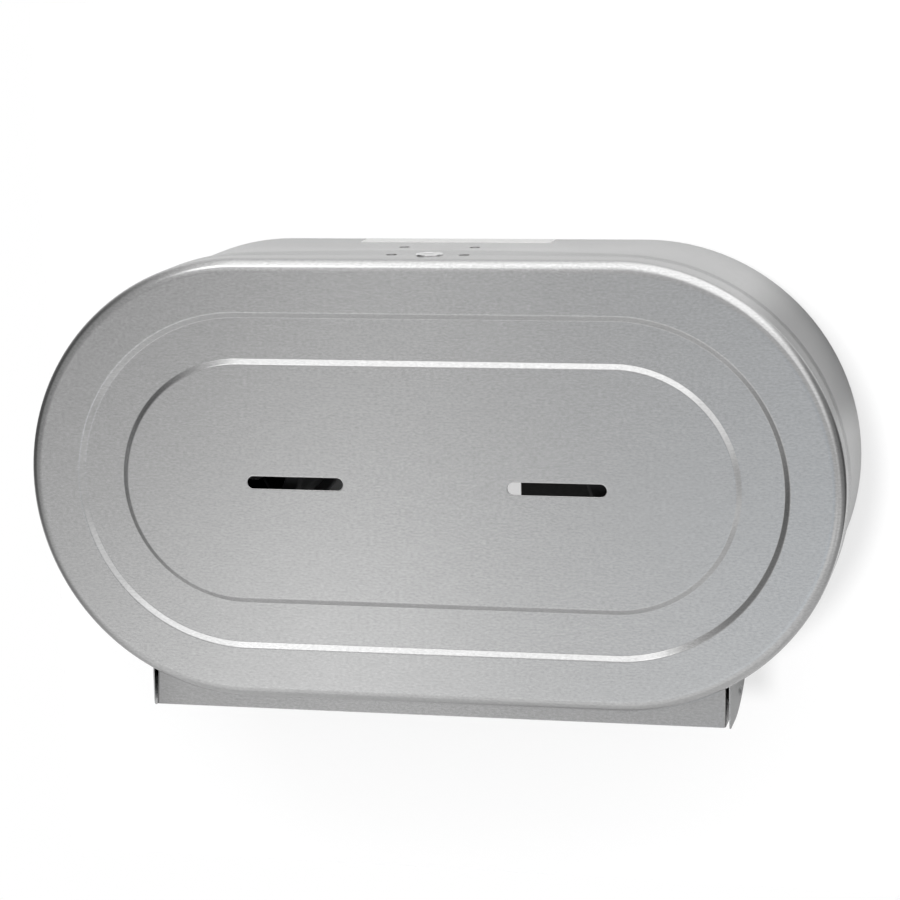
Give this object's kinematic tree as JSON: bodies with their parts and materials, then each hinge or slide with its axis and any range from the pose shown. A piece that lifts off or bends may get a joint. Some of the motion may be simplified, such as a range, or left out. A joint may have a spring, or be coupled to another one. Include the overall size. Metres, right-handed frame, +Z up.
{
  "type": "twin jumbo toilet roll dispenser",
  "caption": "Wall-mounted round-ended sheet-steel cabinet with a drawn drop-down door, key lock, sight slots and spindles for jumbo toilet rolls.",
  "frame": {"origin": "middle of the four wall screws, on the wall plane at the cabinet's back, level with the spindles", "axes": "+X along the width to the viewer's right, +Y into the wall, +Z up"},
  "size_m": [0.528, 0.135, 0.2991],
  "materials": {
    "door_steel": "satin, fine grain along the width",
    "cabinet_steel": "satin, fine grain along the width",
    "bracket_steel": "mill finish, spot-welded",
    "turned_steel": "turned, bright zinc plate",
    "rivet_steel": "plain domed rivet",
    "spacer_plastic": "natural moulded",
    "lock_chrome": "chrome-plated zinc",
    "plug_chrome": "bright plated, turned face",
    "spindle_plastic": "moulded, fine grain"
  },
  "bodies": {
    "cabinet": {"cabinet_wall": "cabinet_steel", "cabinet_back": "cabinet_steel", "strike_bracket": "bracket_steel", "spindle_plate_left": "bracket_steel", "spindle_plate_right": "bracket_steel", "spindle_post_left": "turned_steel", "spindle_post_right": "turned_steel", "thrust_washers": "turned_steel", "retaining_rings": "turned_steel", "hinge_rivet_left": "rivet_steel", "hinge_rivet_right": "rivet_steel", "hinge_spacers": "spacer_plastic"},
    "door": {"door_cover": "door_steel", "door_apron": "door_steel", "lock_bracket": "bracket_steel", "lock_body": "lock_chrome", "lock_nut": "turned_steel"},
    "lock_core": {"lock_plug": "plug_chrome", "lock_cam": "turned_steel", "cam_screw": "turned_steel"},
    "left_spindle": {"spindle_hub_left": "spindle_plastic", "core_adapter_left": "spindle_plastic"},
    "right_spindle": {"spindle_hub_right": "spindle_plastic", "core_adapter_right": "spindle_plastic"}
  },
  "joints": [
    {"name": "door_hinge", "type": "hinge", "parent": "cabinet", "child": "door", "pos_m": [0, -0.071, -0.143], "axis": [1, 0, 0], "range_deg": [0, 175]},
    {"name": "lock_turn", "type": "hinge", "parent": "door", "child": "lock_core", "pos_m": [0, -0.107, 0.134], "axis": [0, 0, -1], "range_deg": [0, 90]},
    {"name": "spindle_left_spin", "type": "hinge", "parent": "cabinet", "child": "left_spindle", "pos_m": [-0.13, -0.045, 0], "axis": [0, 1, 0], "continuous": true},
    {"name": "spindle_right_spin", "type": "hinge", "parent": "cabinet", "child": "right_spindle", "pos_m": [0.13, -0.045, 0], "axis": [0, 1, 0], "continuous": true}
  ]
}
